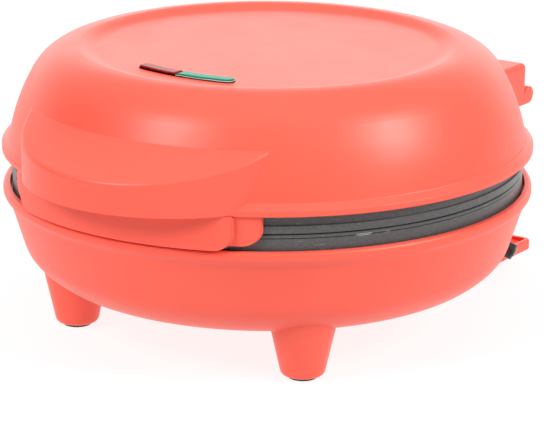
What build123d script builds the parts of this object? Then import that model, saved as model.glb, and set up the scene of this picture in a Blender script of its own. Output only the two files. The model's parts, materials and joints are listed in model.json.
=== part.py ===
from build123d import *
import os
from math import cos, degrees, radians, sin, sqrt

# Bubble waffle maker: a round base on four legs, a domed lid hinged at the back and a handle
# lip at the front. Lengths are millimetres. Z is up from the table, -Y is the handle side,
# +Y is the hinge side. Pieces are drawn about the body's upright axis and then moved so that
# the origin lies under the middle of the whole outline.

# Cooking plates and the base moulding round them. The other radii are set from the plates'.
plate_radius = 99.7
plate_clearance = 0.8
pad_proud = 1.0
leg_height = 17.5
bowl_height = 38.2
shell_wall = 2.6
bowl_floor_setback = 27.7
bowl_knee_setback = 9.1
bowl_knee_rise = 7.4
bowl_shoulder_setback = 4.3
bowl_shoulder_rise = 14.6
bowl_crease_margin = 1.15
bowl_crease_drop = 6.0
base_rim_margin = 3.5
base_rim_drop = 2.4
base_rim_flat = 1.3
ledge_drop = 2.7
ledge_depth = 2.0
ledge_width = 2.4

# Legs, pads and the screws that go up the legs
leg_setback = 24.0
front_leg_angle = 44.8
rear_leg_angle = 32.0
leg_foot_radius = 8.1
leg_head_radius = 14.3
leg_top_rise = 10.2
leg_edge_round = 2.4
pad_radius = 5.4
pad_seat_depth = 1.2
pad_stem_radius = 4.2
pad_stem_height = 4.0
screw_well_radius = 4.4
screw_well_height = 25.0
slip = 0.15
screw_slot_width = 0.6
screw_slot_depth = 0.45
base_boss_radius = 5.0
base_screw_radius = 1.9
base_screw_head_radius = 3.6
base_screw_head_height = 2.4
base_screw_bite = 12.0

# Plate rims, cooking faces and wells
lower_band_height = 5.7
upper_band_height = 7.25
parting_gap = 0.4
rim_edge_break = 0.3
lower_flange_height = 1.05
lower_wall_inset = 0.2
groove_height = 0.35
groove_depth = 0.8
upper_flange_height = 3.0
upper_wall_inset = 0.8
cook_setback = 13.7
cook_recess = 2.0
web_thickness = 3.0
skirt_width = 3.2
well_pitch = 37.0
well_radius = 15.5
well_wall = 2.0
well_rows = [(2, 2), (3, 1), (4, 0), (3, -1), (2, -2)]
post_radius = 4.5
join_depth = 0.5

# Heating elements, cast rib and spring clips
element_ring_radius = 55.0
element_tube_radius = 3.2
element_gap_angle = 30.0
element_depth = 21.0
element_pin_radius = 1.6
element_pin_length = 9.0
rib_half_width = 4.5
rib_depth = 20.4
groove_clearance = 0.1
clip_angles = [35.0, 155.0, 275.0]
clip_width = 9.0
clip_thickness = 1.2
clip_screw_offset = 9.5
clip_lug_radius = 4.4
clip_screw_radius = 1.4
clip_screw_head_radius = 2.7
clip_screw_head_height = 1.6
clip_screw_bite = 7.0

# Heat reflectors
reflector_depth = 25.8
reflector_thickness = 0.8
reflector_side_gap = 0.6
reflector_side_height = 10.0
reflector_side_spread = 1.6
reflector_screw_clearance = 0.3

# Lid moulding
lid_edge_clearance = 0.3
lid_rim_margin = 0.25
lid_rim_draft = 0.1
lid_rim_height = 2.25
lid_rim_round = 0.5
lid_crease_inset = 2.85
lid_crease_rise = 4.45
lid_junction_inset = 3.55
lid_junction_rise = 7.45
ridge_setback = 29.95
ridge_rise = 40.05
dome_corner_radius = 20.5
dome_corner_turn = 60.0
plateau_setback = 7.5
plateau_drop = 2.2
lid_ledge_width = 1.0
lid_screw_setback = 8.2
lid_screw_angles = [0.0, 180.0, 280.0, 80.0]
lid_boss_radius = 3.6
lid_screw_shank_radius = 1.5
lid_screw_head_radius = 2.9
lid_screw_head_height = 1.6
lid_screw_bite = 9.0

# Handle lip, its cover and the guard below it
lip_length = 14.05
lip_round_radius = 57.6
lip_base_rise = 0.65
lip_front_height = 11.8
lip_shelf_inset = 9.35
lip_shelf_rise = 23.0
lip_shelf_mid_inset = 0.45
lip_shelf_mid_rise = 17.95
shelf_overrun = 6.0
shelf_root_radius = 20.0
lip_wall = 2.5
lip_pocket_bite = 0.5
lip_edge_round = 1.8
cover_thickness = 2.2
cover_slip = 0.25
guard_margin = 1.45
guard_thickness = 2.5
guard_half_angle = 27.3
guard_floor_clearance = 0.9
guard_corner = 5.5
tab_plate_gap = 1.05
tab_thickness = 1.35
tab_half_angle = 33.3
tab_floor_clearance = 2.2
tab_corner = 6.0
cover_screw_side = 15.0
cover_screw_radius = 1.5
cover_screw_head_radius = 2.7
cover_screw_head_height = 1.2
cover_screw_length = 9.0
cover_boss_radius = 3.4

# Hinge
hinge_offset = 11.75
hinge_rise = 10.8
barrel_radius = 3.5
block_half_width = 51.5
block_rear_inset = 2.2
block_rise = 17.05
block_wall = 2.5
block_round = 2.0
block_corner = 2.0
knuckle_length = 14.5
knuckle_gap = 1.0
block_root_depth = 13.5
pin_radius = 1.6
pin_clearance = 0.05
pin_end_clearance = 1.0
tower_rear_inset = 3.2
tower_wall = 2.5
tower_front_gap = 1.85
tower_root_depth = 9.0
brace_drop = 11.2
lead_slot_half_width = 9.0
notch_clearance = 1.2

# Cord-wrap flange at the foot of the tower
flange_half_width = 54.2
flange_proud = 5.0
flange_front_depth = 4.0
flange_bottom = 6.9
flange_height = 4.3
flange_corner = 3.2
flange_edge_round = 0.7
flange_edge_width = 2.0
flange_recess = 1.5

# Indicator window and lamps
window_inset = 10.7
window_length = 43.5
window_width = 6.0
window_bend_radius = 80.8
red_share = 0.46
lens_rise = 1.2
lens_round = 1.0
lens_gap = 0.2
lens_slip = 0.12
lens_flange = 1.4
lens_flange_thickness = 1.2
lamp_holder_depth = 11.0
lamp_holder_wall = 1.4
lamp_radius = 2.2
lamp_length = 8.0
lamp_top_gap = 2.0

# Electrical pieces
cord_radius = 3.3
cord_drop_angle = 21.0
cord_swing_angle = 13.0
cord_end_offset = 23.8
cord_end_inset = 20.4
cord_end_height = 12.45
gland_radius = 4.6
gland_length = 8.0
conductor_radius = 0.95
conductor_spread = 1.25
conductor_stub = 0.6
thermostat_radius = 7.5
thermostat_height = 6.5
thermostat_flange_length = 26.0
thermostat_flange_thickness = 1.0
thermostat_screw_pitch = 20.0
thermostat_screw_radius = 1.3
thermostat_screw_head_radius = 2.4
thermostat_screw_head_height = 1.6
thermostat_tab_side = 4.8
thermostat_tab_thickness = 0.8
thermostat_tab_length = 5.0
fuse_radius = 2.0
fuse_length = 14.0
fuse_wire_radius = 0.5
fuse_place = (-26.0, 62.0)
fuse_slip = 0.05
fuse_clamp_width = 6.0
fuse_clamp_thickness = 1.0
fuse_clamp_foot = 10.0
terminal_block_size = (34.0, 14.0, 9.0)
terminal_block_setback = 66.0
terminal_foot = 1.5
terminal_pitch = 10.0
terminal_hole_radius = 1.8
terminal_screw_radius = 1.5
terminal_boss_radius = 3.4
terminal_boss_place = 11.0
lead_radius = 1.1
lead_bend = 4.0
lid_lead_bend = 2.5
lid_lead_gap = 0.6
lid_lead_ceiling_gap = 1.6
lid_lead_start_spread = 4.0
lid_lead_wide_spread = 9.0
lid_lead_runs = (8.0, 30.0)
lid_lead_turn_place = 34.0
lid_lead_climb_setback = 17.5
lid_lead_climb_run = 6.0
lead_slot_share = 0.55
base_lead_turn_place = 44.0
tab_lead_start = 3.0
tab_lead_run = 15.0
pin_lead_turn_place = 38.0
rear_lead_run = 12.0
rear_lead_rises = (8.0, 20.0)

# Levels and places that follow from the sizes above
bowl_floor_radius = plate_radius - bowl_floor_setback
bowl_knee_radius = plate_radius - bowl_knee_setback
bowl_shoulder_radius = plate_radius - bowl_shoulder_setback
bowl_crease_radius = plate_radius + bowl_crease_margin
base_rim_radius = plate_radius + base_rim_margin
leg_place_radius = plate_radius - leg_setback
cook_radius = plate_radius - cook_setback
skirt_inner_radius = plate_radius - skirt_width
reflector_flat_radius = cook_radius - reflector_side_gap
lid_rim_radius = base_rim_radius + lid_rim_margin
lid_crease_radius = lid_rim_radius - lid_crease_inset
lid_junction_radius = lid_rim_radius - lid_junction_inset
lid_inner_radius = plate_radius - upper_wall_inset - lid_ledge_width
lid_screw_radius = plate_radius - lid_screw_setback
ridge_radius = lid_rim_radius - ridge_setback
plateau_radius = ridge_radius - plateau_setback
lip_reach = lid_rim_radius + lip_length
lip_shelf_radius = lid_rim_radius - lip_shelf_inset
lip_shelf_mid_radius = lid_rim_radius - lip_shelf_mid_inset
guard_outer_radius = lid_rim_radius + guard_margin
guard_inner_radius = guard_outer_radius - guard_thickness
tab_inner_radius = plate_radius + tab_plate_gap
tab_outer_radius = tab_inner_radius + tab_thickness
window_setback = plateau_radius - window_inset
hinge_setback = lid_rim_radius + hinge_offset
block_reach = hinge_setback - block_rear_inset
block_root = ridge_radius - block_root_depth
tower_reach = hinge_setback - tower_rear_inset
tower_front = lid_rim_radius + tower_front_gap
tower_root = bowl_floor_radius + tower_root_depth
tower_half_width = block_half_width - knuckle_length - knuckle_gap
flange_reach = tower_reach + flange_proud
flange_front = tower_root + flange_front_depth
cord_end_place = (tower_half_width + cord_end_offset, tower_reach - cord_end_inset, cord_end_height)
floor_z = pad_proud + leg_height
rim_z = floor_z + bowl_height
parting_z = rim_z + lower_band_height
upper_face_z = parting_z + parting_gap
lower_cook_z = parting_z - cook_recess
upper_cook_z = upper_face_z + cook_recess
lid_z = upper_face_z + upper_band_height
ridge_z = lid_z + ridge_rise
plateau_z = ridge_z - plateau_drop
ledge_z = rim_z - ledge_drop
boss_top_z = lower_cook_z - reflector_depth - reflector_thickness
hinge_z = parting_z + hinge_rise
lip_z = lid_z + lip_base_rise
lip_front_z = lip_z + lip_front_height
block_top_z = lid_z + block_rise
guard_low_z = rim_z + guard_floor_clearance
tab_low_z = rim_z + tab_floor_clearance
rear_reach = max(hinge_setback + barrel_radius, flange_reach)
centre_shift = (lip_reach - rear_reach) / 2
far = 400.0
leg_angles = [-90 - front_leg_angle, -90 + front_leg_angle, 90 - rear_leg_angle, 90 + rear_leg_angle]


def polar(radius, angle):
    """Plan point at an angle in degrees, measured from +X."""
    return (radius * cos(radians(angle)), radius * sin(radians(angle)))


def post(place, radius, low, high):
    """Upright cylinder at a plan point between two levels."""
    return Pos(place[0], place[1], (low + high) / 2) * Cylinder(radius, high - low)


def block(x_range, y_range, z_range):
    """Box from three pairs of limits."""
    centre = [(pair[0] + pair[1]) / 2 for pair in (x_range, y_range, z_range)]
    size = [pair[1] - pair[0] for pair in (x_range, y_range, z_range)]
    return Pos(*centre) * Box(*size)


def turned(points):
    """Solid turned about Z from straight lines through (radius, height) points."""
    outline = Polyline(*[(r, z) for r, z in points], close=True)
    return revolve(Plane.XZ * make_face(outline), Axis.Z)


def ring(inner, outer, low, high):
    """Upright tube."""
    return post((0, 0), outer, low, high) - post((0, 0), inner, low - 1, high + 1)


def rod_x(y, z, radius, x_low, x_high):
    """Cylinder along X."""
    return Pos((x_low + x_high) / 2, y, z) * Rot(0, 90, 0) * Cylinder(radius, x_high - x_low)


def flip(shape, from_z, to_z):
    """Mirror a lower-plate piece so that level from_z lands on level to_z, facing down."""
    return Pos(0, 0, to_z + from_z) * mirror(shape, Plane.XY)


def screw(place, shank_radius, head_radius, head_height, head_low, tip_z):
    """Upright screw whose head starts at head_low and whose tip is at tip_z, above the head."""
    head = post(place, head_radius, head_low, head_low + head_height)
    slot = Box(head_radius * 1.5, screw_slot_width, screw_slot_depth * 2)
    slot = Pos(place[0], place[1], head_low) * slot
    return head + post(place, shank_radius, head_low + head_height - screw_slot_depth, tip_z) - slot


def well_places():
    """Plan points of the bubble wells: staggered rows."""
    places = []
    for count, row in well_rows:
        for index in range(count):
            x = (index - (count - 1) / 2) * well_pitch
            places.append((x, row * well_pitch * sqrt(3) / 2))
    return places


# Base moulding
def bowl_section(inset):
    """Half section of the bowl. The outside has no inset, the hollow has the wall as inset."""
    low = floor_z + inset
    knee = (bowl_knee_radius - inset * 0.5, floor_z + bowl_knee_rise + inset * 0.87)
    shoulder = (bowl_shoulder_radius - inset, floor_z + bowl_shoulder_rise + inset * 0.3)
    crease = (bowl_crease_radius - inset, rim_z - bowl_crease_drop)
    start = (bowl_floor_radius, low)
    floor_line = Line((0, low), start)
    knee_curve = Spline(start, knee, shoulder, tangents=[(1, 0), (0.32, 1)])
    wall_line = Line(shoulder, crease)
    return low, crease, [floor_line, knee_curve, wall_line]


def bowl_outside():
    low, crease, edges = bowl_section(0)
    equator = (base_rim_radius, rim_z - base_rim_drop)
    top_edge = (plate_radius + plate_clearance + base_rim_flat, rim_z)
    flare = Spline(crease, equator, tangents=[(0.3, 1), (0, 1)])
    shoulder = Spline(equator, top_edge, tangents=[(0, 1), (-1, 0)])
    closing = Polyline(top_edge, (0, rim_z), (0, low))
    outline = Curve() + edges + [flare, shoulder, closing]
    return revolve(Plane.XZ * make_face(outline), Axis.Z)


def bowl_hollow():
    low, crease, edges = bowl_section(shell_wall)
    seat_radius = plate_radius + plate_clearance
    inner = seat_radius - ledge_width - plate_clearance
    closing = Polyline(
        crease, (inner, ledge_z - ledge_depth), (inner, ledge_z), (seat_radius, ledge_z),
        (seat_radius, rim_z + 1), (0, rim_z + 1), (0, low),
    )
    outline = Curve() + edges + [closing]
    return revolve(Plane.XZ * make_face(outline), Axis.Z)


def leg(angle):
    x, y = polar(leg_place_radius, angle)
    top = floor_z + leg_top_rise
    body = Cone(leg_foot_radius, leg_head_radius, top - pad_proud)
    body = Pos(x, y, (top + pad_proud) / 2) * body
    foot_edge = body.edges().sort_by(Axis.Z)[0]
    return fillet(foot_edge, leg_edge_round)


def tower_outside():
    lower = block((-tower_half_width, tower_half_width), (tower_root, tower_reach), (flange_bottom, rim_z))
    upper = block((-tower_half_width, tower_half_width), (tower_front, tower_reach), (rim_z - 1, hinge_z))
    barrel = rod_x(hinge_setback, hinge_z, barrel_radius, -tower_half_width, tower_half_width)
    brace = extrude(
        Plane.YZ.offset(-tower_half_width)
        * make_face(Polyline(
            (tower_reach - 1, hinge_z - brace_drop),
            (hinge_setback + barrel_radius * 0.9, hinge_z - barrel_radius * 0.4),
            (tower_reach - 1, hinge_z), close=True,
        )),
        tower_half_width * 2,
    )
    return lower + upper + barrel + brace


def flange_outside():
    depth = flange_reach - flange_front
    outline = RectangleRounded(flange_half_width * 2, depth, flange_corner)
    plate = extrude(Pos(0, flange_front + depth / 2, flange_bottom) * outline, flange_height)
    level_edges = plate.edges().group_by(Axis.Z)
    plate = fillet(level_edges[0] + level_edges[-1], flange_edge_round)
    inner = RectangleRounded(
        (flange_half_width - flange_edge_width) * 2, depth - flange_edge_width * 2,
        flange_corner - flange_edge_width,
    )
    tray_z = flange_bottom + flange_height - flange_recess
    tray = extrude(Pos(0, flange_front + depth / 2, tray_z) * inner, flange_recess + 1)
    return plate - tray


def make_base_shell():
    shape = bowl_outside() + tower_outside() + flange_outside()
    for angle in leg_angles:
        shape += leg(angle)
    hollow_low = flange_bottom + tower_wall
    shape -= bowl_hollow()
    shape -= block(
        (-tower_half_width + tower_wall, tower_half_width - tower_wall),
        (tower_root + tower_wall, tower_reach - tower_wall), (hollow_low, rim_z - bowl_crease_drop),
    )
    shape -= block(
        (-lead_slot_half_width, lead_slot_half_width),
        (tower_front + tower_wall * 0.7, hinge_setback + barrel_radius * 2),
        (hinge_z - barrel_radius * 1.3, hinge_z + barrel_radius * 2),
    )
    shape -= block(
        (-lead_slot_half_width, lead_slot_half_width),
        (tower_front + tower_wall * 0.7, tower_reach - tower_wall),
        (rim_z - bowl_crease_drop - 1, hinge_z),
    )
    for angle in leg_angles:
        place = polar(leg_place_radius, angle)
        shape += post(place, base_boss_radius, floor_z + shell_wall, boss_top_z)
        shape -= post(place, screw_well_radius, 0, screw_well_height)
        shape -= post(place, pad_radius + slip, 0, pad_proud + pad_seat_depth)
        shape -= post(place, base_screw_radius + slip, 0, far * 0.5)
    for side in (-1, 1):
        shape += post(
            (side * terminal_boss_place, terminal_block_setback), terminal_boss_radius,
            floor_z + shell_wall * 0.5, floor_z + shell_wall + terminal_foot,
        )
    shape -= rod_x(hinge_setback, hinge_z, pin_radius + pin_clearance, -far / 2, far / 2)
    shape -= gland_axis_solid(gland_radius * 0.8 + slip, far * 0.1)
    return shape


# Cord stub and gland: the cord leaves the tower's right side, droops a little and is cut off
def cord_direction():
    level = cos(radians(cord_drop_angle))
    return (
        level * cos(radians(cord_swing_angle)), level * sin(radians(cord_swing_angle)),
        -sin(radians(cord_drop_angle)),
    )


def along_cord(distance):
    """Point on the cord's axis, measured back from its cut end."""
    way = cord_direction()
    return tuple(cord_end_place[i] - way[i] * distance for i in range(3))


def cord_solid(radius, start, end):
    """Cylinder on the cord's axis between two distances back from the cut end."""
    middle = along_cord((start + end) / 2)
    way = cord_direction()
    return Plane(origin=middle, z_dir=way) * Cylinder(radius, abs(end - start))


def gland_face_distance():
    """Distance back from the cut end to where the axis meets the tower's side wall."""
    return (cord_end_place[0] - tower_half_width) / cord_direction()[0]


def gland_axis_solid(radius, half_length):
    face = gland_face_distance()
    return cord_solid(radius, face - half_length * 0.12, face + half_length * 0.25)


def make_cord_gland():
    face = gland_face_distance()
    outer = Plane(origin=along_cord(face - gland_length / 2), z_dir=cord_direction()) * Cone(
        gland_radius, cord_radius + 1.0, gland_length
    )
    neck = cord_solid(gland_radius * 0.8, face, face + tower_wall * 1.8)
    outside = block((tower_half_width + 0.05, far / 2), (-far / 2, far / 2), (-far / 2, far / 2))
    shape = (outer & outside) + neck
    return shape - cord_solid(cord_radius, -far / 4, far / 4)


def make_cord_stub():
    face = gland_face_distance()
    shape = cord_solid(cord_radius, 0, face + tower_wall * 3)
    for index in range(3):
        shape -= conductor(index, 0.1)
    return shape


def conductor(index, extra):
    """One insulated core, set round the cord's axis, standing a little out of the cut end."""
    way = cord_direction()
    plane = Plane(origin=cord_end_place, z_dir=way)
    angle = 120 * index + 90
    depth = 6.0
    offset = (conductor_spread * cos(radians(angle)), conductor_spread * sin(radians(angle)))
    return plane * Pos(offset[0], offset[1], (conductor_stub - depth) / 2) * Cylinder(
        conductor_radius + extra, depth + conductor_stub
    )


def make_foot_pads():
    pads = []
    for angle in leg_angles:
        place = polar(leg_place_radius, angle)
        seat = pad_proud + pad_seat_depth
        pad = post(place, pad_radius, 0, seat)
        pads.append(pad + post(place, pad_stem_radius, pad_proud, seat + pad_stem_height))
    return pads


def make_base_screws():
    head_low = screw_well_height - base_screw_head_height
    tip = boss_top_z + base_screw_bite
    return [
        screw(polar(leg_place_radius, angle), base_screw_radius, base_screw_head_radius,
              base_screw_head_height, head_low, tip)
        for angle in leg_angles
    ]


# Cooking plates. Both are drawn as the lower one; the upper one is flipped.
def plate_blank(wall_inset, flange_height, skirt_z):
    """Plate with a turned-down rim: a flange at the cooking side and a wall set in below it."""
    face = parting_z
    under = lower_cook_z - web_thickness
    wall = plate_radius - wall_inset
    outline = [
        (0, under), (skirt_inner_radius, under), (skirt_inner_radius, skirt_z), (wall, skirt_z),
        (wall, face - flange_height), (plate_radius, face - flange_height),
        (plate_radius, face - rim_edge_break), (plate_radius - rim_edge_break, face),
        (cook_radius + cook_recess, face), (cook_radius, lower_cook_z), (0, lower_cook_z),
    ]
    return turned(outline)


def clip_lugs():
    lugs = []
    bottom = lower_cook_z - rib_depth
    for angle in clip_angles:
        for side in (-1, 1):
            place = polar(element_ring_radius + side * clip_screw_offset, angle)
            lugs.append(post(place, clip_lug_radius, bottom, lower_cook_z - web_thickness + join_depth))
    return lugs


def plate_body(wall_inset, flange_height, skirt_z):
    bottom = lower_cook_z - rib_depth
    shape = plate_blank(wall_inset, flange_height, skirt_z)
    shape += ring(
        element_ring_radius - rib_half_width, element_ring_radius + rib_half_width,
        bottom, lower_cook_z - web_thickness + join_depth,
    )
    for lug in clip_lugs():
        shape += lug
    for angle in leg_angles:
        shape += post(
            polar(leg_place_radius, angle), post_radius,
            boss_top_z + reflector_thickness, lower_cook_z - web_thickness + join_depth,
        )
    for place in well_places():
        bulge = Pos(place[0], place[1], lower_cook_z) * Sphere(well_radius + well_wall)
        under = lower_cook_z - web_thickness / 2
        shape += bulge & block((-far / 2, far / 2), (-far / 2, far / 2), (0, under))
    for place in well_places():
        shape -= Pos(place[0], place[1], lower_cook_z) * Sphere(well_radius)
    groove_z = lower_cook_z - element_depth
    groove = Torus(element_ring_radius, element_tube_radius + groove_clearance)
    shape -= Pos(0, 0, groove_z) * groove
    for angle in clip_angles:
        for side in (-1, 1):
            place = polar(element_ring_radius + side * clip_screw_offset, angle)
            shape -= post(place, clip_screw_radius, bottom - 1, bottom + clip_screw_bite)
    for angle in leg_angles:
        tip = boss_top_z + base_screw_bite + 1
        shape -= post(polar(leg_place_radius, angle), base_screw_radius, 0, tip)
    return shape


def make_lower_plate():
    groove_top = parting_z - lower_flange_height
    groove = ring(plate_radius - groove_depth, far / 2, groove_top - groove_height, groove_top)
    return plate_body(lower_wall_inset, lower_flange_height, ledge_z) - groove


def lid_screw_places():
    return [polar(lid_screw_radius, angle) for angle in lid_screw_angles]


def make_upper_plate():
    skirt = parting_z - upper_band_height + lid_edge_clearance
    shape = flip(plate_body(upper_wall_inset, upper_flange_height, skirt), parting_z, upper_face_z)
    top = upper_cook_z + web_thickness
    for place in lid_screw_places():
        shape -= post(place, lid_screw_head_radius + slip, 0, upper_face_z + lid_screw_head_height + slip)
        shape -= post(place, lid_screw_shank_radius + slip, 0, top + 1)
    return shape


def make_lid_screws():
    screws = []
    tip = upper_cook_z + web_thickness + lid_screw_bite
    for place in lid_screw_places():
        screws.append(screw(
            place, lid_screw_shank_radius, lid_screw_head_radius, lid_screw_head_height, upper_face_z, tip,
        ))
    return screws


# Heating element, clips and reflector, drawn for the lower plate
def element():
    z = lower_cook_z - element_depth
    section = Plane.XZ * Pos(element_ring_radius, z) * Circle(element_tube_radius)
    arc = 360 - element_gap_angle
    tube = Rot(0, 0, 90 + element_gap_angle / 2) * revolve(section, Axis.Z, arc)
    for side in (-1, 1):
        place = polar(element_ring_radius, 90 + side * element_gap_angle / 2)
        low = z - element_tube_radius - element_pin_length
        tube += Pos(place[0], place[1], z) * Sphere(element_tube_radius)
        tube += post(place, element_tube_radius, z - element_tube_radius - 2.0, z)
        tube += post(place, element_pin_radius, low, z)
    return tube


def clips():
    z = lower_cook_z - element_depth
    seat = lower_cook_z - rib_depth
    made = []
    for angle in clip_angles:
        ears = Pos(element_ring_radius, 0, seat - clip_thickness / 2) * Box(
            (clip_screw_offset + clip_lug_radius) * 2, clip_width, clip_thickness
        )
        hump_radius = element_tube_radius + groove_clearance + clip_thickness
        hump = Pos(element_ring_radius, 0, z) * Rot(90, 0, 0) * Cylinder(hump_radius, clip_width)
        hump = hump & block((0, far / 2), (-far / 2, far / 2), (0, seat))
        bore = Pos(element_ring_radius, 0, z) * Rot(90, 0, 0) * Cylinder(
            element_tube_radius + groove_clearance, clip_width * 2
        )
        bow = element_ring_radius - sqrt(element_ring_radius ** 2 - (clip_width / 2) ** 2)
        relief = Pos(element_ring_radius - bow, 0, z) * Rot(90, 0, 0) * Cylinder(
            element_tube_radius + groove_clearance, clip_width * 2
        )
        clip = ears + hump - bore - relief
        for side in (-1, 1):
            hole = (element_ring_radius + side * clip_screw_offset, 0)
            clip -= post(hole, clip_screw_radius + slip, 0, far / 2)
        made.append(Rot(0, 0, angle) * clip)
    return made


def clip_screws():
    seat = lower_cook_z - rib_depth
    made = []
    for angle in clip_angles:
        for side in (-1, 1):
            place = polar(element_ring_radius + side * clip_screw_offset, angle)
            head_low = seat - clip_thickness - clip_screw_head_height
            made.append(screw(
                place, clip_screw_radius, clip_screw_head_radius, clip_screw_head_height,
                head_low, seat + clip_screw_bite - 1,
            ))
    return made


def reflector():
    top = lower_cook_z - reflector_depth
    low = top - reflector_thickness
    wall = reflector_thickness
    outline = [
        (0, low), (reflector_flat_radius, low),
        (reflector_flat_radius + reflector_side_spread, low + reflector_side_height),
        (reflector_flat_radius + reflector_side_spread - wall, low + reflector_side_height),
        (reflector_flat_radius - wall, top), (0, top),
    ]
    shape = turned(outline)
    screw_hole = base_screw_radius + reflector_screw_clearance
    for angle in leg_angles:
        shape -= post(polar(leg_place_radius, angle), screw_hole, 0, far / 2)
    for side in (-1, 1):
        place = polar(element_ring_radius, 90 + side * element_gap_angle / 2)
        shape -= post(place, element_tube_radius + 1.5, 0, far / 2)
    return shape


def make_lower_reflector():
    shape = reflector()
    for side in (-1, 1):
        shape -= post((side * thermostat_screw_pitch / 2, 0), thermostat_screw_radius, 0, far / 2)
    return shape


def reflector_screws():
    """Screws that hold the upper reflector on its posts, drawn for the lower side."""
    low = boss_top_z - base_screw_head_height
    return [
        screw(polar(leg_place_radius, angle), base_screw_radius, base_screw_head_radius,
              base_screw_head_height, low, boss_top_z + base_screw_bite)
        for angle in leg_angles
    ]


# Lid moulding
def lid_section(inset):
    """Upper curve of the lid's half section, from the axis out to the rim junction."""
    centre = (ridge_radius, ridge_z - dome_corner_radius)
    radius = dome_corner_radius - inset
    turn = radians(dome_corner_turn)
    corner_end = (centre[0] + radius * sin(turn), centre[1] + radius * cos(turn))
    corner_mid = (centre[0] + radius * sin(turn / 2), centre[1] + radius * cos(turn / 2))
    junction = (lid_junction_radius - inset, lid_z + lid_junction_rise)
    ridge = (ridge_radius, ridge_z - inset)
    plateau_edge = (plateau_radius, plateau_z - inset)
    edges = [
        Line((0, plateau_z - inset), plateau_edge),
        Spline(plateau_edge, ridge, tangents=[(1, 0), (1, 0)]),
        ThreePointArc(ridge, corner_mid, corner_end),
        TangentArc(corner_end, junction, tangent=(cos(turn), -sin(turn))),
    ]
    return edges, junction


def dome_outside():
    edges, junction = lid_section(0)
    crease = (lid_crease_radius, lid_z + lid_crease_rise)
    shoulder = (lid_rim_radius, lid_z + lid_rim_height)
    edge = (lid_rim_radius - lid_rim_draft, lid_z)
    under = (lid_inner_radius, lid_z)
    bead = FilletPolyline(junction, crease, shoulder, edge, under, radius=lid_rim_round)
    closing = Polyline(under, (0, lid_z), (0, plateau_z))
    return revolve(Plane.XZ * make_face(Curve() + edges + [bead, closing]), Axis.Z)


def dome_hollow():
    edges, junction = lid_section(shell_wall)
    closing = Polyline(
        junction, (lid_inner_radius, lid_z + lid_crease_rise), (lid_inner_radius, lid_z - 1),
        (0, lid_z - 1), (0, plateau_z - shell_wall),
    )
    return revolve(Plane.XZ * make_face(Curve() + edges + [closing]), Axis.Z)


def lip_outline(inset, low, high):
    """Upright round body of the lip's plan outline."""
    centre = -(lip_reach - lip_round_radius)
    return post((0, centre), lip_round_radius - inset, low, high)


def below_shelf(inset):
    """Everything under the lip's hollow top surface."""
    near = (lip_shelf_radius, lid_z + lip_shelf_rise - inset)
    middle = (lip_shelf_mid_radius, lid_z + lip_shelf_mid_rise - inset)
    front = (lip_reach, lip_front_z - inset)
    slope = (front[1] - middle[1]) / (front[0] - middle[0])
    outer = (lip_reach + shelf_overrun, front[1] + slope * shelf_overrun * 0.6)
    curve = Spline(near, middle, front, outer)
    base = rim_z
    root = shelf_root_radius
    closing = Polyline(outer, (outer[0], base), (root, base), (root, near[1]), near)
    return revolve(Plane.XZ * make_face(Curve() + [curve, closing]), Axis.Z)


def lip_solid():
    return lip_outline(0, lip_z, ridge_z) & below_shelf(0)


def cover_screw_places():
    round_centre = -(lip_reach - lip_round_radius)
    inner = lip_round_radius - lip_wall - cover_boss_radius - cover_slip
    y = round_centre - sqrt(inner ** 2 - cover_screw_side ** 2)
    return [(-cover_screw_side, y), (cover_screw_side, y)]


def make_lid_shell():
    body = dome_outside() + rounded_lip()
    outer_block = block(
        (-block_half_width, block_half_width), (block_root, block_reach), (lid_z, block_top_z)
    )
    rear_edges = outer_block.edges().filter_by(Axis.Z).sort_by(Axis.Y)[-2:]
    outer_block = fillet(rear_edges, block_corner)
    top_edges = outer_block.edges().group_by(Axis.Z)[-1].sort_by(Axis.Y)[1:]
    outer_block = fillet(top_edges, block_round)
    body += outer_block
    pocket = lip_outline(lip_wall, lip_z, ridge_z) & below_shelf(lip_wall)
    body -= pocket - post((0, 0), lid_rim_radius - lip_pocket_bite, 0, far / 2)
    hollow = block(
        (-block_half_width + block_wall, block_half_width - block_wall),
        (block_root, block_reach - block_wall), (0, block_top_z - block_wall),
    )
    body -= hollow - post((0, 0), lid_rim_radius, 0, far / 2)
    body -= dome_hollow()
    for side in (-1, 1):
        inner_end = block_half_width - knuckle_length
        pair = sorted((side * inner_end, side * block_half_width))
        body += rod_x(hinge_setback, hinge_z, barrel_radius, pair[0], pair[1])
        body += block(pair, (tower_front, hinge_setback), (hinge_z - barrel_radius, hinge_z))
    notch = tower_half_width + knuckle_gap
    body -= block(
        (-notch, notch), (lid_rim_radius + 0.4, far / 2), (0, hinge_z + barrel_radius + notch_clearance)
    )
    body -= block(
        (-lead_slot_half_width, lead_slot_half_width), (ridge_radius, lid_rim_radius + 1),
        (lid_z + lid_junction_rise + 1.0, block_top_z - block_wall),
    )
    pin_half = block_half_width - block_wall
    body -= rod_x(hinge_setback, hinge_z, pin_radius + pin_clearance, -pin_half, pin_half)
    for place in cover_screw_places():
        column = post(place, cover_boss_radius, lip_z + cover_thickness + slip, ridge_z)
        body += column & below_shelf(lip_wall * 0.5)
        body -= post(place, cover_screw_radius, lip_z, lip_z + cover_screw_length + 1)
    body += lid_bosses()
    for place in lid_screw_places():
        hole_top = upper_cook_z + web_thickness + lid_screw_bite + 1
        body -= post(place, lid_screw_shank_radius, 0, hole_top)
    body += guard_ring(
        tab_inner_radius, tab_outer_radius, tab_half_angle, tab_corner, tab_low_z, lid_z + join_depth,
    )
    body -= window_solid(0, plateau_z - shell_wall * 2, ridge_z)
    return body


def rounded_lip():
    body = lip_solid()
    upper = body.edges().filter_by(lambda edge: edge.center().Z > lip_z + lip_front_height / 2)
    crest = upper.filter_by(lambda edge: edge.center().Y < -lip_shelf_mid_radius)
    return fillet(crest, lip_edge_round)


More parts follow.
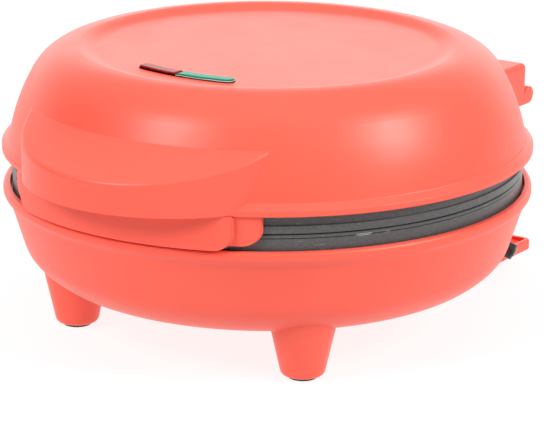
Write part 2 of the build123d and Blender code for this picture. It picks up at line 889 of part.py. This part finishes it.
def lid_bosses():
    """Posts inside the lid that the upper plate's screws bite into."""
    low = upper_cook_z + web_thickness
    keep = dome_inside_solid()
    bosses = [post(place, lid_boss_radius, low, ridge_z) & keep for place in lid_screw_places()]
    shape = bosses[0]
    for boss in bosses[1:]:
        shape += boss
    return shape


def dome_inside_solid():
    """The dome's body drawn in by half its wall, used to trim what stands inside."""
    edges, junction = lid_section(shell_wall / 2)
    closing = Polyline(junction, (junction[0], lid_z), (0, lid_z), (0, plateau_z - shell_wall / 2))
    return revolve(Plane.XZ * make_face(Curve() + edges + [closing]), Axis.Z)


def guard_ring(inner, outer, half_angle, corner, low, top):
    """Curved wall below the lip with rounded lower corners."""
    wall = ring(inner, outer, low, top)
    half_width = outer * sin(radians(half_angle))
    panel = Pos(0, 0, (low + top) / 2 + corner) * Rot(90, 0, 0) * extrude(
        RectangleRounded(half_width * 2, top - low + corner * 2, corner), outer * 2
    )
    return wall & panel & block((-far / 2, far / 2), (-far / 2, 0), (0, top))


def make_handle_cover():
    plate_low = lip_z + slip
    plate_top = plate_low + cover_thickness
    inner = lid_rim_radius + cover_slip
    plate = lip_outline(lip_wall + cover_slip, plate_low, plate_top)
    plate -= post((0, 0), inner, 0, far / 2)
    guard = guard_ring(
        guard_inner_radius, guard_outer_radius, guard_half_angle, guard_corner, guard_low_z, plate_top,
    )
    over_rim = post((0, 0), inner, lid_z - cover_slip, far / 2)
    outside_pocket = block((-far / 2, far / 2), (-far / 2, 0), (lip_z - cover_slip, far / 2))
    outside_pocket -= lip_outline(lip_wall + cover_slip, 0, far / 2)
    shape = plate + (guard - over_rim - outside_pocket)
    for place in cover_screw_places():
        shape -= post(place, cover_screw_radius + slip, 0, far / 2)
    return shape


def make_cover_screws():
    head_low = lip_z + slip - cover_screw_head_height
    tip = lip_z + cover_screw_length
    return [
        screw(place, cover_screw_radius, cover_screw_head_radius, cover_screw_head_height, head_low, tip)
        for place in cover_screw_places()
    ]


def make_hinge_pin():
    half = block_half_width - block_wall - pin_end_clearance
    return rod_x(hinge_setback, hinge_z, pin_radius, -half, half)


# Indicator window
def window_row(x):
    """Y of the window's bent middle line at a given X."""
    return window_bend_radius - window_setback - sqrt(window_bend_radius ** 2 - x ** 2)


def window_solid(inset, low, high):
    """Prism of the window: a slot with round ends, bent round a centre behind it."""
    half_turn = degrees((window_length - window_width) / window_bend_radius) / 2
    centre = (0, window_bend_radius - window_setback)
    middle = CenterArc(centre, window_bend_radius, -90 - half_turn, half_turn * 2)
    return extrude(Pos(0, 0, low) * SlotArc(middle, window_width - inset * 2), high - low)


def lens(x_low, x_high):
    """Lens with a rounded crown that fills the window between two X limits."""
    low = plateau_z - shell_wall - lens_flange_thickness
    body = window_solid(lens_slip, low, plateau_z)
    flange = window_solid(-lens_flange, low, plateau_z - shell_wall - 0.05)
    cut = block((x_low, x_high), (-far / 2, 0), (0, far / 2))
    crown = window_solid(lens_slip, plateau_z, plateau_z + lens_rise) & cut
    top_edges = crown.edges().group_by(Axis.Z)[-1]
    return ((body + flange) & cut) + fillet(top_edges, lens_round)


def window_split():
    return -window_length / 2 + window_length * red_share


def make_red_lens():
    return lens(-window_length, window_split() - lens_gap / 2)


def make_green_lens():
    return lens(window_split() + lens_gap / 2, window_length)


def make_lamp_holder():
    top = plateau_z - shell_wall - lens_flange_thickness
    low = top - lamp_holder_depth
    shape = window_solid(-lens_flange, low, top)
    shape -= window_solid(-lens_flange + lamp_holder_wall, low + lamp_holder_wall, top + 1)
    half_depth = window_width / 2 + join_depth
    row = window_row(window_split())
    shape += block(
        (window_split() - lamp_holder_wall / 2, window_split() + lamp_holder_wall / 2),
        (row - half_depth, row + half_depth), (low, top),
    )
    for x in lamp_places():
        shape -= post((x, window_row(x)), lamp_radius + slip, 0, top)
    return shape


def lamp_places():
    split = window_split()
    return [(-window_length / 2 + split) / 2, (window_length / 2 + split) / 2]


def lamp(x):
    top = plateau_z - shell_wall - lens_flange_thickness - lamp_top_gap
    place = (x, window_row(x))
    glass = post(place, lamp_radius, top - lamp_length, top - lamp_radius)
    return glass + Pos(place[0], place[1], top - lamp_radius) * Sphere(lamp_radius)


# Electrical pieces
def make_thermostat():
    top = boss_top_z
    body = post((0, 0), thermostat_radius, top - thermostat_height, top)
    flange = block(
        (-thermostat_flange_length / 2, thermostat_flange_length / 2), (-3.5, 3.5),
        (top - thermostat_flange_thickness, top),
    )
    shape = body + flange
    low = top - thermostat_height
    for side in (-1, 1):
        x = side * thermostat_tab_side
        shape += block(
            (x - thermostat_tab_thickness / 2, x + thermostat_tab_thickness / 2), (-3, 3),
            (low - thermostat_tab_length, low + 0.5),
        )
        hole = (side * thermostat_screw_pitch / 2, 0)
        shape -= post(hole, thermostat_screw_radius + slip, 0, far / 2)
    return shape


def make_thermostat_screws():
    low = boss_top_z - thermostat_flange_thickness - thermostat_screw_head_height
    tip = boss_top_z + reflector_thickness + 1.2
    return [
        screw((side * thermostat_screw_pitch / 2, 0), thermostat_screw_radius, thermostat_screw_head_radius,
              thermostat_screw_head_height, low, tip)
        for side in (-1, 1)
    ]


def terminal_z():
    """Level of the wire holes through the terminal block."""
    return floor_z + shell_wall + terminal_foot + terminal_block_size[2] * 0.45


def make_terminal_block():
    length, depth, height = terminal_block_size
    low = floor_z + shell_wall + terminal_foot
    shape = Pos(0, terminal_block_setback, low + height / 2) * Box(length, depth, height)
    for index in range(3):
        x = (index - 1) * terminal_pitch
        shape -= Pos(x, terminal_block_setback, terminal_z()) * Rot(90, 0, 0) * Cylinder(
            terminal_hole_radius, depth + 2
        )
        for side in (-1, 1):
            place = (x, terminal_block_setback + side * depth / 4)
            shape -= post(place, terminal_screw_radius, terminal_z(), low + height + 1)
    return shape


def lead(points, bend):
    """Insulated wire along straight runs with rounded bends."""
    path = FilletPolyline(*points, radius=bend)
    section = Plane(origin=path @ 0, z_dir=path % 0) * Circle(lead_radius)
    return sweep(section, path=path)


def make_base_leads():
    """Mains in from the block to the thermostat, thermostat to element, and two leads to the lid."""
    z = terminal_z()
    front = terminal_block_setback - terminal_block_size[1] / 2
    back = terminal_block_setback + terminal_block_size[1] / 2
    tab_z = boss_top_z - thermostat_height - thermostat_tab_length / 2
    pin = polar(element_ring_radius, 90 - element_gap_angle / 2)
    pin_z = lower_cook_z - element_depth - element_tube_radius - element_pin_length + lead_radius * 2
    climb = (tower_front + tower_wall * 0.7 + tower_reach - tower_wall) / 2
    near = tab_lead_start
    away = tab_lead_start + tab_lead_run
    leads = [
        lead([(0, front, z), (0, base_lead_turn_place, z), (-thermostat_tab_side, away, tab_z),
              (-thermostat_tab_side, near, tab_z)], lead_bend),
        lead([(thermostat_tab_side, near, tab_z), (thermostat_tab_side, away, tab_z),
              (pin[0], pin_lead_turn_place, pin_z),
              (pin[0], pin[1] - element_pin_radius, pin_z)], lead_bend),
    ]
    top = hinge_z - barrel_radius - lead_radius * 3
    for side in (-1, 1):
        x = side * lead_slot_half_width * lead_slot_share
        leads.append(lead([
            (side * terminal_pitch, back, z), (x, back + rear_lead_run, z),
            (x, climb - rear_lead_run / 2, z + rear_lead_rises[0]),
            (x, climb, z + rear_lead_rises[1]), (x, climb, top),
        ], lead_bend))
    return leads


def make_lid_leads():
    """Leads from the lamp holder over the reflector and down to the hinge."""
    z = upper_cook_z + reflector_depth + reflector_thickness + lead_radius + lid_lead_gap
    start = window_row(lid_lead_start_spread + lead_radius) + window_width / 2 + lens_flange
    slot_z = block_top_z - block_wall - lead_radius - lid_lead_ceiling_gap
    climb = lid_rim_radius - lid_lead_climb_setback
    leads = []
    for side in (-1, 1):
        x = side * lead_slot_half_width * lead_slot_share
        near = side * lid_lead_start_spread
        leads.append(lead([
            (near, start, z + lid_lead_gap), (near, start + lid_lead_runs[0], z),
            (side * lid_lead_wide_spread, start + lid_lead_runs[1], z), (x, lid_lead_turn_place, z),
            (x, climb, z), (x, climb + lid_lead_climb_run, slot_z + lead_radius * 3),
            (x, climb + lid_lead_climb_run * 2, slot_z), (x, tower_front + lid_lead_climb_run / 3, slot_z),
        ], lid_lead_bend))
    return leads


def make_thermal_fuse():
    z = upper_cook_z + reflector_depth + reflector_thickness + fuse_radius + fuse_clamp_thickness
    x, y = fuse_place
    body = rod_x(y, z, fuse_radius, x - fuse_length / 2, x + fuse_length / 2)
    return body + rod_x(y, z, fuse_wire_radius, x - fuse_length, x + fuse_length)


def make_fuse_clamp():
    low = upper_cook_z + reflector_depth + reflector_thickness
    z = low + fuse_radius + fuse_clamp_thickness
    x, y = fuse_place
    ends = (x - fuse_clamp_width / 2, x + fuse_clamp_width / 2)
    band = rod_x(y, z, fuse_radius + fuse_clamp_thickness, ends[0], ends[1])
    band += block(ends, (y, y + fuse_clamp_foot), (low, low + fuse_clamp_thickness))
    return band - rod_x(y, z, fuse_radius + fuse_slip, ends[0] - 1, ends[1] + 1)


def place_all(shape):
    return Pos(0, centre_shift, 0) * shape


def save(name, shape):
    solids = shape if isinstance(shape, list) else [shape]
    moved = []
    for item in solids:
        for solid in place_all(item).solids():
            moved.append(solid)
    whole = moved[0] if len(moved) == 1 else Compound(children=moved)
    export_step(whole, "parts/" + name + ".step")
    print(name, len(moved), "solids")


def flipped(shapes):
    items = shapes if isinstance(shapes, list) else [shapes]
    return [flip(item, lower_cook_z, upper_cook_z) for item in items]


os.makedirs("parts", exist_ok=True)
save("base_shell", make_base_shell())
save("foot_pads", make_foot_pads())
save("base_screws", make_base_screws())
save("lower_plate", make_lower_plate())
save("lower_heating_element", element())
save("lower_element_clips", clips())
save("lower_clip_screws", clip_screws())
save("lower_reflector", make_lower_reflector())
save("thermostat", make_thermostat())
save("thermostat_screws", make_thermostat_screws())
save("terminal_block", make_terminal_block())
save("base_leads", make_base_leads())
save("cord_gland", make_cord_gland())
save("cord_stub", make_cord_stub())
save("live_core", conductor(0, 0))
save("neutral_core", conductor(1, 0))
save("earth_core", conductor(2, 0))
save("hinge_pin", make_hinge_pin())
save("lid_shell", make_lid_shell())
save("handle_cover", make_handle_cover())
save("cover_screws", make_cover_screws())
save("upper_plate", make_upper_plate())
save("lid_screws", make_lid_screws())
save("upper_heating_element", flipped(element()))
save("upper_element_clips", flipped(clips()))
save("upper_clip_screws", flipped(clip_screws()))
save("upper_reflector", flipped(reflector()))
save("upper_reflector_screws", flipped(reflector_screws()))
save("red_lens", make_red_lens())
save("green_lens", make_green_lens())
save("lamp_holder", make_lamp_holder())
save("lid_leads", make_lid_leads())
save("red_lamp", lamp(lamp_places()[0]))
save("green_lamp", lamp(lamp_places()[1]))
save("thermal_fuse", make_thermal_fuse())
save("fuse_clamp", make_fuse_clamp())
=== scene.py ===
import json
from math import cos, radians, sin

import bpy
from mathutils import Matrix, Vector


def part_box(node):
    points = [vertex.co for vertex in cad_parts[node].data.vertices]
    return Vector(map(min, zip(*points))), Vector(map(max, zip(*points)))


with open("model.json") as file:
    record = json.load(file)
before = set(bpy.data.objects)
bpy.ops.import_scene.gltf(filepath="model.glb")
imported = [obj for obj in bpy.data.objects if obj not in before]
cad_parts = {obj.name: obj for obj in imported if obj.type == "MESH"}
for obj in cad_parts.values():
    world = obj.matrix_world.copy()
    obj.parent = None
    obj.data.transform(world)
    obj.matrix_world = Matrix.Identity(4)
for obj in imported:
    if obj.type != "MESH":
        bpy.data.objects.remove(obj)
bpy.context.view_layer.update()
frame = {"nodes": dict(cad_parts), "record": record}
nodes = frame["nodes"]

# Camera, as the photograph was taken: far off with a long lens, left of the object's own front
IMAGE_WIDTH = 550
FOCAL_PIXELS = 2800
SENSOR_WIDTH = 36.0
CAMERA_TURN = 34.6
CAMERA_DISTANCE = 1.0566
CAMERA_HEIGHT = 0.3558
CAMERA_PITCH = 16.529
CAMERA_YAW = 0.1635
CAMERA_ROLL = 0.288
NEAREST_SEEN = 0.05
FARTHEST_SEEN = 30.0
AXIS_Y = -0.0006

# Studio: brightness of the white surroundings overhead and half way up, of the low walls behind and
# before the object, and what the walls at its two sides add
ZENITH_STRENGTH = 1.12
MIDDLE_STRENGTH = 0.2
BACK_STRENGTH = 2.0
FRONT_STRENGTH = 0.05
SIDE_STRENGTH = 0.1

# Where that brightness changes: by how far a direction points away from the camera, and how far up
BACK_BAND = (0.4, 0.95)
CEILING_BAND = (0.45, 1.0)
WALL_TO_CEILING_BAND = (0.3, 0.6)

# Lit floor just under the feet: its own glow and its tone
FLOOR_SIZE = 9.0
FLOOR_DROP = 0.0002
FLOOR_GLOW = 0.86
FLOOR_TONES = (0.15, 0.16)

# Two round soft boxes, whose soft reflections show on the dome: place and power of each
SOFT_BOX_SIZE = 0.8
SOFT_BOX_AIM = (0, 0, 0.1)
SOFT_BOXES = {
    "left_box": ((-0.42, -1.50, 1.22), 22.0),
    "right_box": ((1.62, 0.25, 1.07), 26.0),
}

# Painted glint on the lower plate's scuffed groove: the groove's level, how far it spreads, and the place
# round the rim
GROOVE_LEVEL = 0.0612
GROOVE_GLINT_CORE = 0.0001
GROOVE_GLINT_REACH = 0.00045
GROOVE_GLINT_ANGLE = -0.58
GROOVE_GLINT_CENTRE = 0.045
GROOVE_GLINT_SPREAD = 0.075

# Height of the lenses' crowns above the lid's flat top
LENS_RISE = 0.0012

# Half the width of the soft edge between the two colours of the striped core
STRIPE_EDGE = 0.0001

# Band that most values of a noise lie in
NOISE_BAND = (0.3, 0.7)

# Sockets of a mix node that carry colours: first, second and result
MIX_FIRST = 6
MIX_SECOND = 7
MIX_RESULT = 2


# Node helpers
def add(tree, kind, links=None):
    """A shader node, linked from the sockets in links by the name of its input."""
    node = tree.nodes.new(kind)
    for target, source in (links or {}).items():
        tree.links.new(source, node.inputs[target])
    return node


def put(tree, socket, value):
    """Links value to the socket if it is a socket too, or sets it there."""
    if isinstance(value, (int, float, tuple)):
        socket.default_value = value
    else:
        tree.links.new(value, socket)


def coordinates(tree):
    return add(tree, "ShaderNodeTexCoord").outputs["Object"]


def parts_of(tree, vector):
    """The outputs X, Y and Z of a vector."""
    return add(tree, "ShaderNodeSeparateXYZ", {"Vector": vector}).outputs


def calculate(tree, operation, first, second=0.0):
    node = add(tree, "ShaderNodeMath")
    node.operation = operation
    put(tree, node.inputs[0], first)
    put(tree, node.inputs[1], second)
    return node.outputs["Value"]


def noise(tree, where, scale, detail=2.0):
    node = add(tree, "ShaderNodeTexNoise", {"Vector": where})
    node.inputs["Scale"].default_value = scale
    node.inputs["Detail"].default_value = detail
    return node.outputs["Fac"]


def spread(tree, factor, source, target):
    """Maps factor from the source range to the target range, held at the ends."""
    node = add(tree, "ShaderNodeMapRange", {"Value": factor})
    for key, value in zip(("From Min", "From Max", "To Min", "To Max"), source + target):
        node.inputs[key].default_value = value
    return node.outputs["Result"]


def colour(red, green, blue):
    return (red, green, blue, 1.0)


def grey(tone):
    return colour(tone, tone, tone)


def ramp(tree, factor, stops):
    """Colour ramp from (position, colour) stops."""
    node = add(tree, "ShaderNodeValToRGB", {"Fac": factor})
    elements = node.color_ramp.elements
    while len(elements) < len(stops):
        elements.new(0.5)
    for element, (position, value) in zip(elements, stops):
        element.position = position
        element.color = value
    return node.outputs["Color"]


def two_tone(tree, cloud, dark, light, band=NOISE_BAND):
    """Runs from the dark colour to the light one as the cloud crosses the band."""
    return ramp(tree, cloud, list(zip(band, (dark, light))))


def mix(tree, factor, first, second):
    """Colour mix of two sockets or colours."""
    node = add(tree, "ShaderNodeMix")
    node.data_type = "RGBA"
    tree.links.new(factor, node.inputs["Factor"])
    put(tree, node.inputs[MIX_FIRST], first)
    put(tree, node.inputs[MIX_SECOND], second)
    return node.outputs[MIX_RESULT]


def bump(tree, height, strength, distance, below=None):
    links = {"Height": height}
    if below is not None:
        links["Normal"] = below
    node = add(tree, "ShaderNodeBump", links)
    node.inputs["Strength"].default_value = strength
    node.inputs["Distance"].default_value = distance
    return node.outputs["Normal"]


def new_material(name, **settings):
    """A material with its shader's inputs set by name. Returns it with its tree and shader."""
    material = bpy.data.materials.new(name)
    material.use_nodes = True
    tree = material.node_tree
    shader = tree.nodes["Principled BSDF"]
    connect(tree, shader, **settings)
    return material, tree, shader


def connect(tree, shader, **inputs):
    """Sets or links the shader's inputs, named with low lines for spaces."""
    for name, value in inputs.items():
        put(tree, shader.inputs[name.replace("_", " ")], value)


# Camera and studio
def place_camera():
    data = bpy.data.cameras.new("camera")
    data.sensor_width = SENSOR_WIDTH
    data.lens = FOCAL_PIXELS / IMAGE_WIDTH * SENSOR_WIDTH
    data.clip_start = NEAREST_SEEN
    data.clip_end = FARTHEST_SEEN
    camera = bpy.data.objects.new("camera", data)
    bpy.context.scene.collection.objects.link(camera)
    turn = radians(CAMERA_TURN)
    place = Vector((CAMERA_DISTANCE * sin(turn), AXIS_Y - CAMERA_DISTANCE * cos(turn), CAMERA_HEIGHT))
    heading = Matrix.Rotation(turn - radians(CAMERA_YAW), 4, "Z")
    tilt = Matrix.Rotation(radians(90 - CAMERA_PITCH), 4, "X")
    roll = Matrix.Rotation(radians(CAMERA_ROLL), 4, "Z")
    camera.matrix_world = Matrix.Translation(place) @ heading @ tilt @ roll
    bpy.context.scene.camera = camera


def light_surroundings():
    """White surroundings, whose strength goes by the direction as seen from the object."""
    world = bpy.data.worlds.new("studio")
    world.use_nodes = True
    bpy.context.scene.world = world
    tree = world.node_tree
    background = tree.nodes["Background"]
    background.inputs["Color"].default_value = grey(1.0)
    way = parts_of(tree, add(tree, "ShaderNodeTexCoord").outputs["Generated"])
    turn = radians(CAMERA_TURN)
    backward = level_share(tree, way, -sin(turn), cos(turn))
    sideways = level_share(tree, way, cos(turn), sin(turn))
    sides = calculate(tree, "MULTIPLY", calculate(tree, "MULTIPLY", sideways, sideways), SIDE_STRENGTH)
    walls = spread(tree, backward, BACK_BAND, (FRONT_STRENGTH, BACK_STRENGTH))
    walls = calculate(tree, "ADD", walls, sides)
    ceiling = spread(tree, way["Z"], CEILING_BAND, (MIDDLE_STRENGTH, ZENITH_STRENGTH))
    rise = spread(tree, way["Z"], WALL_TO_CEILING_BAND, (0.0, 1.0))
    lift = calculate(tree, "MULTIPLY", rise, calculate(tree, "SUBTRACT", ceiling, walls))
    put(tree, background.inputs["Strength"], calculate(tree, "ADD", walls, lift))


def level_share(tree, way, x_share, y_share):
    """How far a direction points along a level one, which is given by its X and Y."""
    along_x = calculate(tree, "MULTIPLY", way["X"], x_share)
    along_y = calculate(tree, "MULTIPLY", way["Y"], y_share)
    return calculate(tree, "ADD", along_x, along_y)


def add_soft_box(name, place, power):
    data = bpy.data.lights.new(name, "AREA")
    data.shape = "DISK"
    data.size = SOFT_BOX_SIZE
    data.energy = power
    light = bpy.data.objects.new(name, data)
    bpy.context.scene.collection.objects.link(light)
    light.location = place
    light.rotation_euler = (Vector(SOFT_BOX_AIM) - Vector(place)).to_track_quat("-Z", "Y").to_euler()


def lay_floor():
    bpy.ops.mesh.primitive_plane_add(size=FLOOR_SIZE, location=(0, 0, -FLOOR_DROP))
    floor = bpy.context.object
    floor.name = "floor"
    floor.data.materials.append(floor_material())


def build_studio():
    bpy.context.scene.view_settings.view_transform = "Standard"
    light_surroundings()
    for name, (place, power) in SOFT_BOXES.items():
        add_soft_box(name, place, power)
    lay_floor()


# Materials
def floor_material():
    """Lit acrylic table: glows white, and shows only faint shadows and a faint bounce."""
    material, tree, shader = new_material("pale_floor", Roughness=0.9, Specular_IOR_Level=0.0)
    connect(tree, shader, Emission_Color=grey(1.0), Emission_Strength=FLOOR_GLOW)
    cloud = noise(tree, coordinates(tree), 3.0)
    dark, light = FLOOR_TONES
    connect(tree, shader, Base_Color=two_tone(tree, cloud, grey(dark), grey(light)))
    return material


def coral_plastic():
    """Satin moulded plastic: spark-eroded grain, faint flow clouds and slightly uneven sheen."""
    material, tree, shader = new_material("coral_plastic", IOR=1.5, Specular_IOR_Level=0.35)
    where = coordinates(tree)
    clouds = noise(tree, where, 22.0, 3.0)
    tint = two_tone(tree, clouds, colour(0.935, 0.108, 0.067), colour(0.955, 0.118, 0.074))
    sheen = spread(tree, noise(tree, where, 60.0, 4.0), NOISE_BAND, (0.35, 0.39))
    grain = bump(tree, noise(tree, where, 2600.0), 0.12, 0.00006)
    soft = bump(tree, noise(tree, where, 190.0), 0.05, 0.0002, grain)
    connect(tree, shader, Base_Color=tint, Roughness=sheen, Normal=soft)
    return material


def non_stick():
    """Dark cast coating: orange peel, fine level scuffs on the rims and a painted glint on scuffs along the
    groove.
    """
    material, tree, shader = new_material("non_stick_coating", IOR=1.45)
    where = coordinates(tree)
    part = parts_of(tree, where)
    angle = calculate(tree, "ARCTAN2", part["Y"], part["X"])
    patch = noise(tree, where, 28.0)
    scuffs = rim_scuffs(tree, angle, part["Z"], patch)
    specks = noise(tree, where, 900.0, 3.0)
    speckle = two_tone(tree, specks, colour(0.072, 0.074, 0.073), colour(0.098, 0.099, 0.099), (0.35, 0.7))
    worn = mix(tree, scuffs, speckle, grey(0.30))
    # Painted glint: near-white colour along the groove on one short stretch of the rim, broken up like
    # scuffs
    shade = mix(tree, groove_glint(tree, where, angle, part["Z"]), worn, grey(0.78))
    sheen = spread(tree, patch, NOISE_BAND, (0.30, 0.42))
    peel = bump(tree, noise(tree, where, 700.0), 0.2, 0.00008)
    connect(tree, shader, Base_Color=shade, Roughness=sheen, Normal=bump(tree, scuffs, 0.3, 0.00005, peel))
    return material


def rim_scuffs(tree, angle, height, patch):
    """Fine scuffs drawn out round the rim, in patches."""
    around = add(tree, "ShaderNodeCombineXYZ", {
        "X": calculate(tree, "MULTIPLY", angle, 0.1),
        "Z": calculate(tree, "MULTIPLY", height, 9.0),
    })
    scuff = spread(tree, noise(tree, around.outputs["Vector"], 240.0, 3.0), (0.60, 0.68), (0.0, 1.0))
    return calculate(tree, "MULTIPLY", scuff, spread(tree, patch, (0.5, 0.62), (0.0, 0.75)))


def groove_glint(tree, where, angle, height):
    """Painted glint in the groove, broken up like scuffs, on a short stretch of the rim."""
    from_groove = calculate(tree, "ABSOLUTE", calculate(tree, "SUBTRACT", height, GROOVE_LEVEL))
    near_groove = spread(tree, from_groove, (GROOVE_GLINT_CORE, GROOVE_GLINT_REACH), (1.0, 0.0))
    from_place = calculate(tree, "ABSOLUTE", calculate(tree, "SUBTRACT", angle, GROOVE_GLINT_ANGLE))
    near_place = spread(tree, from_place, (GROOVE_GLINT_CENTRE, GROOVE_GLINT_SPREAD), (1.0, 0.0))
    broken = spread(tree, noise(tree, where, 420.0), (0.44, 0.52), (0.0, 1.0))
    return calculate(tree, "MULTIPLY", calculate(tree, "MULTIPLY", near_groove, near_place), broken)


def rubber(name, tone, roughness):
    """Soft black compound with a fine matt grain and dusty patches."""
    material, tree, shader = new_material(name, IOR=1.5)
    where = coordinates(tree)
    dust = noise(tree, where, 160.0, 3.0)
    dusty = colour(tone * 2.2, tone * 2.1, tone * 2.0)
    shade = two_tone(tree, dust, grey(tone), dusty, (0.4, 0.8))
    sheen = spread(tree, dust, NOISE_BAND, (roughness, roughness + 0.12))
    connect(tree, shader, Base_Color=shade, Roughness=sheen)
    connect(tree, shader, Normal=bump(tree, noise(tree, where, 3000.0), 0.3, 0.00005))
    return material


def insulation(name, base, second=None):
    """Glossy wire insulation, in one colour or with a stripe along the core."""
    material, tree, shader = new_material(name, Roughness=0.32)
    where = coordinates(tree)
    fleck = noise(tree, where, 800.0)
    darker = colour(*(share * 0.85 for share in base[:3]))
    shade = two_tone(tree, fleck, darker, base)
    if second is not None:
        centre = sum(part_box("earth_core"), Vector()) / 2
        above = calculate(tree, "SUBTRACT", parts_of(tree, where)["Z"], centre.z)
        shade = mix(tree, spread(tree, above, (-STRIPE_EDGE, STRIPE_EDGE), (0.0, 1.0)), shade, second)
    connect(tree, shader, Base_Color=shade, Normal=bump(tree, fleck, 0.2, 0.00003))
    return material


def metal(name, dark, light, roughness, scale=500.0):
    """Bare or plated metal with drawn streaks and uneven tone."""
    material, tree, shader = new_material(name, Metallic=1.0)
    where = coordinates(tree)
    tone = noise(tree, where, scale * 0.2, 4.0)
    sheen = spread(tree, tone, NOISE_BAND, (roughness, roughness + 0.15))
    connect(tree, shader, Base_Color=two_tone(tree, tone, dark, light), Roughness=sheen)
    connect(tree, shader, Normal=bump(tree, noise(tree, where, scale * 4), 0.15, 0.00004))
    return material


def moulded(name, dark, light, roughness):
    """Plain moulded plastic of the inner pieces."""
    material, tree, shader = new_material(name)
    where = coordinates(tree)
    cloud = noise(tree, where, 90.0, 3.0)
    sheen = spread(tree, cloud, NOISE_BAND, (roughness, roughness + 0.1))
    connect(tree, shader, Base_Color=two_tone(tree, cloud, dark, light), Roughness=sheen)
    connect(tree, shader, Normal=bump(tree, noise(tree, where, 2200.0), 0.15, 0.00005))
    return material


def sleeving():
    """Woven glass sleeve on the inner leads."""
    material, tree, shader = new_material("lead_sleeve", Roughness=0.7)
    wave = add(tree, "ShaderNodeTexWave", {"Vector": coordinates(tree)})
    wave.bands_direction = "DIAGONAL"
    wave.inputs["Scale"].default_value = 900.0
    wave.inputs["Distortion"].default_value = 2.0
    weave = wave.outputs["Fac"]
    shade = two_tone(tree, weave, colour(0.5, 0.48, 0.43), colour(0.76, 0.74, 0.69), (0.2, 0.8))
    connect(tree, shader, Base_Color=shade, Normal=bump(tree, weave, 0.4, 0.0001))
    return material


def lens_material(name, stops):
    """Tinted lens. Its colour goes by the height up its crown: the lens's own tint, with painted shade
    towards the foot and painted glint and reflection higher up.
    """
    material, tree, shader = new_material(name, Roughness=0.12, IOR=1.5, Specular_IOR_Level=0.05)
    where = coordinates(tree)
    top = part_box(name)[1].z
    rise = spread(tree, parts_of(tree, where)["Z"], (top - LENS_RISE, top), (0.0, 1.0))
    uneven = spread(tree, noise(tree, where, 240.0), (0.35, 0.65), (-0.06, 0.06))
    # Painted light by height: shade low on the crown, glint and reflection higher up
    shade = ramp(tree, calculate(tree, "ADD", rise, uneven), stops)
    connect(tree, shader, Base_Color=shade, Normal=bump(tree, noise(tree, where, 500.0, 1.0), 0.03, 0.0001))
    return material


def red_lens():
    """Dark red at the foot, brighter red-brown on the crown: the lens's own dark red, with painted shade at
    the foot and a painted reflection brightening the crown.
    """
    return lens_material("red_lens", [
        # Painted shade at the foot, painted reflection towards the crown
        (0.0, colour(0.02, 0.001, 0.002)),
        (0.5, colour(0.03, 0.001, 0.002)),
        (0.85, colour(0.26, 0.008, 0.006)),
        (1.0, colour(0.30, 0.03, 0.018)),
    ])


def green_lens():
    """Nearly black at the foot as painted shade over the dark lens body, a painted glint line, then teal up
    to the crown, lightened near the top by a painted reflection.
    """
    # Painted glint: a pale band part way up the crown
    painted_glint_line = colour(0.68, 0.85, 0.76)
    return lens_material("green_lens", [
        (0.0, colour(0.012, 0.008, 0.006)),
        (0.36, colour(0.02, 0.02, 0.015)),
        (0.42, painted_glint_line),
        (0.48, painted_glint_line),
        (0.56, colour(0.003, 0.10, 0.065)),
        (1.0, colour(0.02, 0.26, 0.165)),
    ])


def lamp_glass():
    """Hazy glass of the two small lamps."""
    material, tree, shader = new_material("lamp_glass", Roughness=0.05, IOR=1.5, Transmission_Weight=0.6)
    haze = noise(tree, coordinates(tree), 300.0)
    shade = two_tone(tree, haze, colour(0.85, 0.6, 0.45), colour(0.95, 0.85, 0.75))
    connect(tree, shader, Base_Color=shade)
    return material


def make_looks():
    """The material of each slot, by the slot's name."""
    return {
        "coral_plastic": coral_plastic(),
        "non_stick_coating": non_stick(),
        "black_rubber": rubber("black_rubber", 0.012, 0.62),
        "black_sheath": rubber("black_sheath", 0.010, 0.42),
        "brown_core": insulation("brown_core", colour(0.16, 0.06, 0.03)),
        "blue_core": insulation("blue_core", colour(0.10, 0.24, 0.42)),
        "green_yellow_core": insulation(
            "green_yellow_core", colour(0.06, 0.36, 0.22), second=colour(0.72, 0.66, 0.3)
        ),
        "steel": metal("steel", colour(0.5, 0.5, 0.51), colour(0.68, 0.68, 0.69), 0.28),
        "spring_steel": metal("spring_steel", colour(0.32, 0.32, 0.33), colour(0.46, 0.46, 0.47), 0.34),
        "element_sheath": metal("element_sheath", grey(0.12), colour(0.26, 0.25, 0.24), 0.45),
        "bright_sheet": metal("bright_sheet", colour(0.68, 0.68, 0.69), colour(0.8, 0.8, 0.81), 0.2, 200.0),
        "fuse_metal": metal("fuse_metal", colour(0.5, 0.4, 0.24), colour(0.66, 0.55, 0.34), 0.3),
        "switch_plastic": moulded("switch_plastic", grey(0.02), grey(0.035), 0.4),
        "white_nylon": moulded("white_nylon", colour(0.7, 0.69, 0.65), colour(0.8, 0.79, 0.76), 0.45),
        "lead_sleeve": sleeving(),
        "red_lens": red_lens(),
        "green_lens": green_lens(),
        "lamp_glass": lamp_glass(),
    }


def slot_of(material_name):
    """The record's slot name that a packed material is called after."""
    known = [entry["slot"] for entry in frame["record"]["materials"]]
    for name in sorted(known, key=len, reverse=True):
        if material_name.startswith(name):
            return name
    raise ValueError("no slot for " + material_name)


def dress_nodes():
    """Gives every CAD node the material of its slot."""
    looks = make_looks()
    for node in nodes.values():
        for material_slot in node.material_slots:
            material_slot.material = looks[slot_of(material_slot.material.name)]


place_camera()
build_studio()
dress_nodes()
